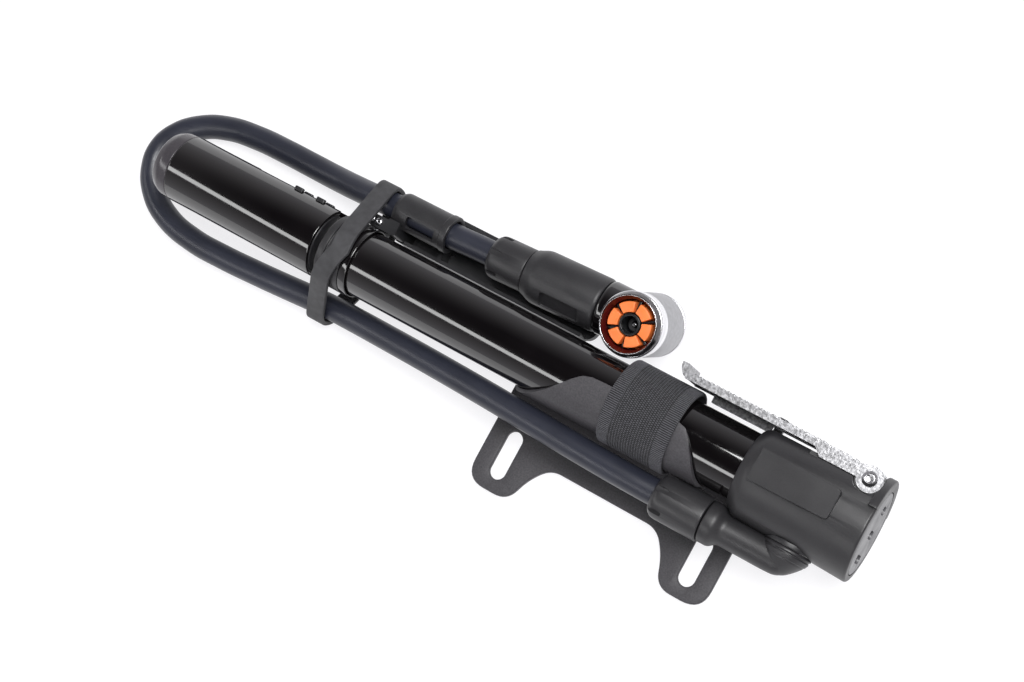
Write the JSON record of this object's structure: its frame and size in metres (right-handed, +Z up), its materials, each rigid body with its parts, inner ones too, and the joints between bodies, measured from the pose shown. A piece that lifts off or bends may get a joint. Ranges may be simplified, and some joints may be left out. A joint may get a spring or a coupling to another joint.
{
  "type": "mini floor pump",
  "caption": "Mini floor bicycle pump with folding T-handle, flip-out foot peg, stowed hose with transverse chuck, and an eared frame bracket with a strap.",
  "frame": {"origin": "centre of the bracket's rest face, under the pump axis and halfway between the two bolt slots", "axes": "+X along the pump towards its base end, +Y towards the chuck and the foot peg, +Z up from the rest face"},
  "size_m": [0.2611, 0.0746, 0.0351],
  "materials": {
    "anodised_black": "gloss black anodised tube",
    "moulded": "fine-grained charcoal moulding",
    "dark_moulded": "smooth dark moulding",
    "seal_rubber": "matte seal rubber",
    "hose_rubber": "semi-gloss hose",
    "band_rubber": "matte band rubber",
    "bracket_plastic": "grained dark grey nylon",
    "webbing": "woven black webbing",
    "steel": "bright rolled steel",
    "satin_aluminium": "satin turned aluminium",
    "gunmetal": "polished dark plated ring",
    "orange": "orange moulding",
    "maroon": "dark red moulding"
  },
  "bodies": {
    "barrel": {"barrel_tube": "anodised_black", "head_end_ring": "anodised_black", "top_collar": "moulded", "base_body": "moulded", "hose_elbow": "moulded", "base_union_nut": "moulded", "head_union_nut": "moulded", "head_body": "moulded", "rod_bush": "dark_moulded", "base_end_plate": "dark_moulded", "elbow_swivel_ring": "dark_moulded", "hose_holder": "dark_moulded", "chuck_spider": "dark_moulded", "rod_seal": "seal_rubber", "bump_stop": "seal_rubber", "base_seal_ring": "seal_rubber", "elbow_o_ring": "seal_rubber", "valve_grommet": "seal_rubber", "hose": "hose_rubber", "rubber_band": "band_rubber", "cage_bracket": "bracket_plastic", "strap": "webbing", "foot_peg_rivet": "steel", "check_valve_spring": "steel", "holder_screw_1": "steel", "holder_screw_2": "steel", "valve_pin": "steel", "head_spigot": "satin_aluminium", "chuck_shell": "satin_aluminium", "chuck_back_cap": "satin_aluminium", "chuck_bezel": "gunmetal", "chuck_liner": "maroon"},
    "rod": {"piston_rod": "satin_aluminium", "piston_head": "dark_moulded", "piston_seal": "seal_rubber", "rod_end_blade": "steel"},
    "handle": {"handle_tube": "anodised_black", "handle_liner": "dark_moulded", "handle_pivot_pin": "steel", "handle_end_cap": "moulded"},
    "foot": {"foot_peg": "steel"},
    "jaws": {"chuck_jaws": "orange"},
    "check_valve": {"check_valve_disc": "seal_rubber"}
  },
  "joints": [
    {"name": "rod_slide", "type": "slide", "parent": "barrel", "child": "rod", "axis": [-1, 0, 0], "range_m": [0, 0.11]},
    {"name": "handle_fold", "type": "hinge", "parent": "rod", "child": "handle", "pos_m": [-0.1344, 0, 0.02], "axis": [0, 0, -1], "range_deg": [0, 90]},
    {"name": "foot_fold", "type": "hinge", "parent": "barrel", "child": "foot", "pos_m": [0.0673, 0.0123, 0.02], "axis": [0, 0, -1], "range_deg": [0, 90]},
    {"name": "jaw_press", "type": "slide", "parent": "barrel", "child": "jaws", "axis": [-0.0073, 0.2078, -0.9781], "range_m": [0, 0.002], "stiffness_N_per_m": 300, "springref_m": -0.0005},
    {"name": "valve_lift", "type": "slide", "parent": "barrel", "child": "check_valve", "axis": [1, 0, 0], "range_m": [0, 0.0012], "stiffness_N_per_m": 60, "springref_m": -0.001}
  ]
}
